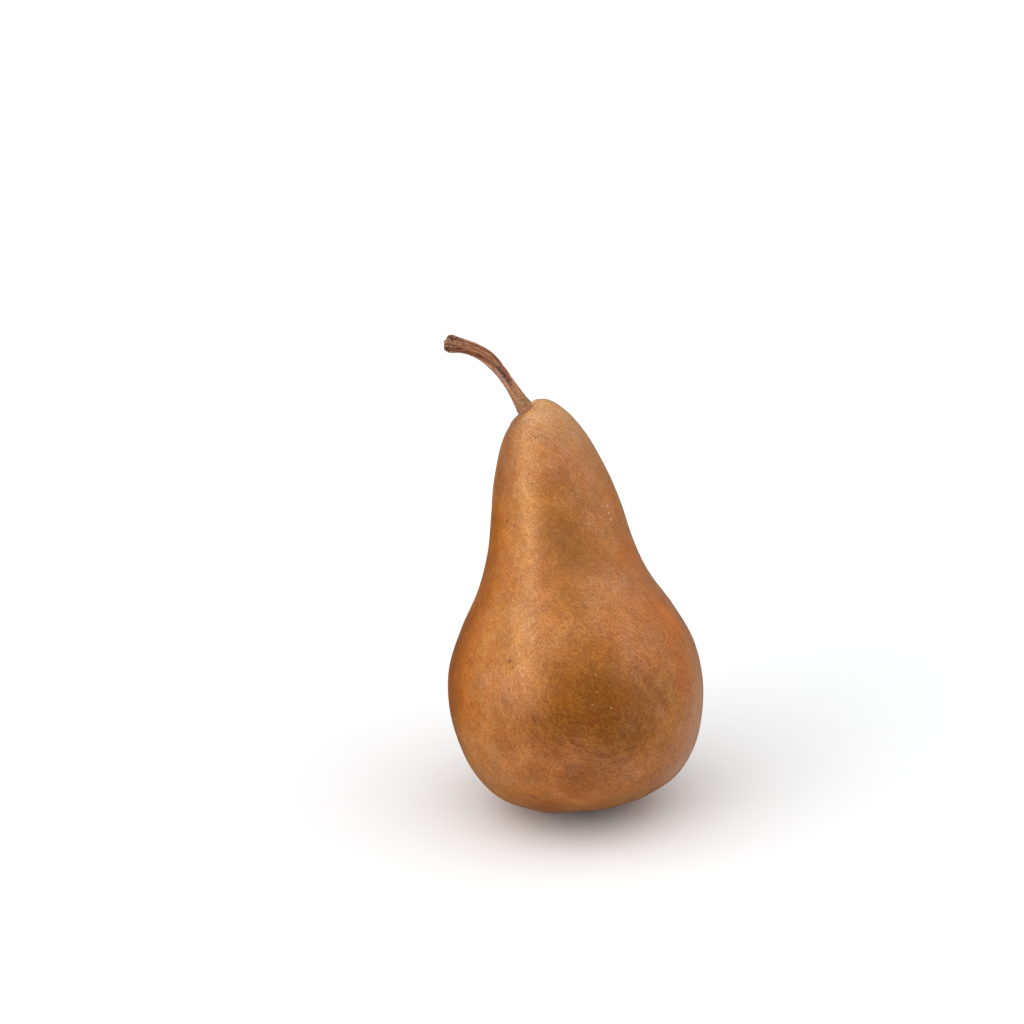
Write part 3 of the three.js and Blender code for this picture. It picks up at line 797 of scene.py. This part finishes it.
def sepalGrid(number):
    # a flattened oval section carried along an arc that leaves the cup and curls down, turned to its place round the
    # cup and crumpled by noise; its half width and thickness shrink by the root of 1 - (2t - 1)^16 at both ends
    along = np.linspace(0, 1, calyx["sepalRows"])[:, None]
    angle = np.linspace(0, 2 * math.pi, calyx["sepalColumns"], endpoint=False)[None, :]
    pace = np.random.default_rng(40 + number)
    curl = math.radians(calyx["curl"]) * pace.uniform(*calyx["curlSpread"])
    bend = calyx["length"] / curl
    ends = np.sqrt(np.clip(1 - (2 * along - 1) ** calyx["endRoundness"], 0, 1))
    width = calyx["width"] / 2 * (1 - calyx["taper"] * along**2) * ends
    thick = calyx["thickness"] / 2 * (1 - calyx["tipThinning"] * along) * ends
    across = width * np.cos(angle)
    lift = thick * np.sin(angle) + calyx["gutter"] * (across / calyx["width"] * 2) ** 2 * along
    outward = (bend + lift) * np.sin(curl * along) + calyx["root"][0]
    height = (bend + lift) * np.cos(curl * along) - bend + calyx["root"][1]
    turned = 2 * math.pi * number / calyx["sepals"] + pace.uniform(-calyx["turnSpread"], calyx["turnSpread"])
    x = outward * math.cos(turned) - across * math.sin(turned)
    y = outward * math.sin(turned) + across * math.cos(turned)
    skin = np.stack([x, y, height], -1)
    crumple = calyx["sepalCrumple"] * latticeNoise(skin, calyx["sepalCrumpleSize"], seed=50 + number)
    return toRow(skin + (crumple * smoothStep(0, 0.1, along * (1 - along)))[..., None])


def driedSepal():
    # dead, dried sepals: near black, matt and crumbly
    finish, tree, shader = newFinish("driedPearSepal")
    noise = noiseOf(tree, pearCoordinates(tree), calyx["grainSize"], detail=5, roughness=0.7).outputs[0]
    start, full = calyx["paleFrom"]
    share = addNode(tree, "ShaderNodeMapRange", {0: noise, 1: start, 2: full, 3: 0, 4: 1}).outputs[0]
    colour = mixColours(tree, share, linearColour(calyx["dark"]), linearColour(calyx["pale"]))
    tree.links.new(colour, shader.inputs["Base Color"])
    shader.inputs["Roughness"].default_value = calyx["roughness"]
    addRelief(tree, shader, noise, calyx["reliefStrength"], calyx["reliefRise"])
    return finish


def joinPieces(pieces, name):
    # the pieces as one object, in the first one's place
    with bpy.context.temp_override(active_object=pieces[0], selected_editable_objects=pieces):
        bpy.ops.object.join()
    pieces[0].name = name
    return pieces[0]


studio = {
    "table": "#f4f5f6", "tableRoughness": 0.9, "tableSpecular": 0.1,
    "tableSize": 12.0,  # in metres
    "boxes": [  # direction of the middle, cosine where it ends and where it is full, strength
        ((0.08, -0.10, 0.99), 0.24, 1.0, 0.78),
        ((-0.44, -0.38, 0.81), 0.36, 1.0, 0.62),
        ((-0.87, -0.29, 0.40), 0.67, 0.99, 0.84),
        ((-0.75, -0.63, 0.24), 0.91, 0.99, 2.9),
        ((0.80, 0.0, 0.60), 0.62, 0.98, 0.62),
        ((0.66, 0.55, -0.50), 0.88, 0.97, 0.6),
        ((0.45, 0.88, 0.14), 0.80, 0.97, 0.14),
        ((0.0, 0.0, 1.0), -0.05, 0.10, 0.12),
    ],
    "ambient": 0.03,
    "backdrop": 1.0,  # the strength that the camera sees
}


def makeTable():
    # one flat square at height 0
    half = studio["tableSize"] / 2
    mesh = bpy.data.meshes.new("table")
    mesh.from_pydata([(-half, -half, 0), (half, -half, 0), (half, half, 0), (-half, half, 0)], [], [(0, 1, 2, 3)])
    table = bpy.data.objects.new("table", mesh)
    bpy.context.scene.collection.objects.link(table)
    finish, tree, shader = newFinish("whiteTable")
    shader.inputs["Base Color"].default_value = linearColour(studio["table"])
    shader.inputs["Roughness"].default_value = studio["tableRoughness"]
    shader.inputs["Specular IOR Level"].default_value = studio["tableSpecular"]
    mesh.materials.append(finish)
    table.visible_glossy = False  # dark flags round the set: the glossy rim of the fruit mirrors the sky's dark below


def makeLight():
    # soft boxes painted on the sky: each adds its strength where the direction is within its cone, by an s-curve of
    # the cosine between the two
    world = bpy.data.worlds.new("studio")
    bpy.context.scene.world = world
    world.use_nodes = True
    tree = world.node_tree
    place = addNode(tree, "ShaderNodeTexCoord").outputs["Generated"]
    total = studio["ambient"]
    for direction, edge, full, strength in studio["boxes"]:
        unit = np.array(direction) / np.linalg.norm(direction)
        facing = reckonVector(tree, "DOT_PRODUCT", place, tuple(unit))
        total = reckon(tree, "ADD", total, shareOf(tree, facing, edge, full, 0, strength))
    path = addNode(tree, "ShaderNodeLightPath")
    seen = addNode(tree, "ShaderNodeMix", {0: path.outputs["Is Camera Ray"], 2: total, 3: studio["backdrop"]})
    tree.nodes["Background"].inputs["Color"].default_value = (1, 1, 1, 1)
    tree.links.new(seen.outputs[0], tree.nodes["Background"].inputs["Strength"])
    bpy.context.scene.view_settings.view_transform = "Standard"


makeCamera()
makeTable()
makeLight()
print("camera, table and light are set")

fruitPoints, fruitValues = fruitGrid()
fruitPiece = gridMesh("pearFruit", fruitPoints, fruitValues)
fruitPiece.data.materials.append(russetSkin(finderOn(fruitPoints), outwardNormals(fruitPoints) @ pearTurn))
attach(fruitPiece, "root")
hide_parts("fruit")
print("fruit:", len(fruitPiece.data.polygons), "faces")

stemPoints, stemValues = stemGrid()
stemPiece = gridMesh("pearStem", stemPoints, stemValues)
stemPiece.data.materials.append(stemBark(finderOn(stemPoints), stemValues["bark"]))
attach(stemPiece, "root")
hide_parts("stem")
print("stem:", len(stemPiece.data.polygons), "faces")

calyxPieces = [gridMesh("calyxCup", cupGrid())]
calyxPieces += [gridMesh(f"sepal{number}", sepalGrid(number)) for number in range(calyx["sepals"])]
calyxPiece = joinPieces(calyxPieces, "pearCalyx")
calyxPiece.data.materials.append(driedSepal())
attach(calyxPiece, "root")
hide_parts("calyx")
print("calyx:", len(calyxPiece.data.polygons), "faces")
